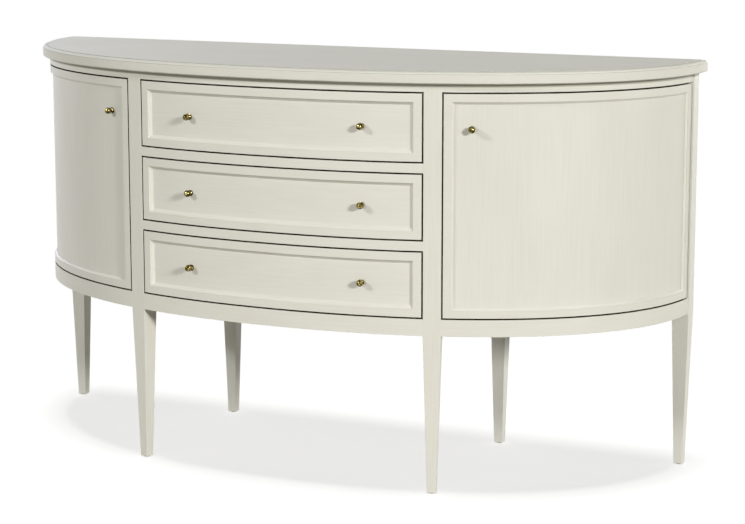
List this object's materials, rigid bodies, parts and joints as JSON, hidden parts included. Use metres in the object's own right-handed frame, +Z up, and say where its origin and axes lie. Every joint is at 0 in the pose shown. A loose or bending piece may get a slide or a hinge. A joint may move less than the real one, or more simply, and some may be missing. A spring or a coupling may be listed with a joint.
{
  "type": "sideboard",
  "caption": "Half-oval painted sideboard on slim tapered legs, with a bank of bowed drawers between two curved doors and small ball knobs.",
  "frame": {"origin": "on the floor, under the middle of the outline's box", "axes": "+X to the right as one faces the drawers, +Y towards the straight back, +Z up"},
  "size_m": [1.63, 0.544, 0.9141],
  "materials": {
    "painted_wood": "pale ivory satin paint on wood, faint grain and brush marks",
    "drawer_wood": "plain light hardwood, waxed",
    "antique_brass": "dark antique brass, worn brighter on the ball",
    "steel": "plain steel pins and catches"
  },
  "bodies": {
    "case": {"apron_centre": "painted_wood", "apron_left": "painted_wood", "apron_right": "painted_wood", "back_leg_left": "painted_wood", "back_leg_right": "painted_wood", "back_panel_centre": "painted_wood", "back_panel_left": "painted_wood", "back_panel_right": "painted_wood", "bottom_panel": "painted_wood", "door_catch_left": "steel", "door_catch_right": "steel", "drawer_rail_lower": "painted_wood", "drawer_rail_upper": "painted_wood", "dustboard_lower": "drawer_wood", "dustboard_upper": "drawer_wood", "end_leg_left": "painted_wood", "end_leg_right": "painted_wood", "front_leg_left": "painted_wood", "front_leg_right": "painted_wood", "partition_left": "painted_wood", "partition_right": "painted_wood", "shelf_cleat_left": "drawer_wood", "shelf_cleat_right": "drawer_wood", "shelf_left": "drawer_wood", "shelf_right": "drawer_wood", "top_panel": "painted_wood", "top_rail_centre": "painted_wood", "top_rail_left": "painted_wood", "top_rail_right": "painted_wood"},
    "door_left": {"door_left_frame": "painted_wood", "door_left_knob": "antique_brass", "door_left_panel": "painted_wood", "door_left_pivot_lower": "steel", "door_left_pivot_upper": "steel"},
    "door_right": {"door_right_frame": "painted_wood", "door_right_knob": "antique_brass", "door_right_panel": "painted_wood", "door_right_pivot_lower": "steel", "door_right_pivot_upper": "steel"},
    "drawer_lower": {"drawer_lower_back": "drawer_wood", "drawer_lower_bottom": "drawer_wood", "drawer_lower_front": "painted_wood", "drawer_lower_knob_left": "antique_brass", "drawer_lower_knob_right": "antique_brass", "drawer_lower_side_left": "drawer_wood", "drawer_lower_side_right": "drawer_wood"},
    "drawer_middle": {"drawer_middle_back": "drawer_wood", "drawer_middle_bottom": "drawer_wood", "drawer_middle_front": "painted_wood", "drawer_middle_knob_left": "antique_brass", "drawer_middle_knob_right": "antique_brass", "drawer_middle_side_left": "drawer_wood", "drawer_middle_side_right": "drawer_wood"},
    "drawer_upper": {"drawer_upper_back": "drawer_wood", "drawer_upper_bottom": "drawer_wood", "drawer_upper_front": "painted_wood", "drawer_upper_knob_left": "antique_brass", "drawer_upper_knob_right": "antique_brass", "drawer_upper_side_left": "drawer_wood", "drawer_upper_side_right": "drawer_wood"}
  },
  "joints": [
    {"name": "drawer_lower_slide", "type": "slide", "parent": "case", "child": "drawer_lower", "axis": [0, -1, 0], "range_m": [0, 0.34]},
    {"name": "drawer_middle_slide", "type": "slide", "parent": "case", "child": "drawer_middle", "axis": [0, -1, 0], "range_m": [0, 0.34]},
    {"name": "drawer_upper_slide", "type": "slide", "parent": "case", "child": "drawer_upper", "axis": [0, -1, 0], "range_m": [0, 0.34]},
    {"name": "door_left_hinge", "type": "hinge", "parent": "case", "child": "door_left", "pos_m": [-0.79081, 0.20981, 0.3855], "axis": [0, 0, -1], "range_deg": [0, 105]},
    {"name": "door_right_hinge", "type": "hinge", "parent": "case", "child": "door_right", "pos_m": [0.79081, 0.20981, 0.3855], "axis": [0, 0, 1], "range_deg": [0, 105]}
  ]
}
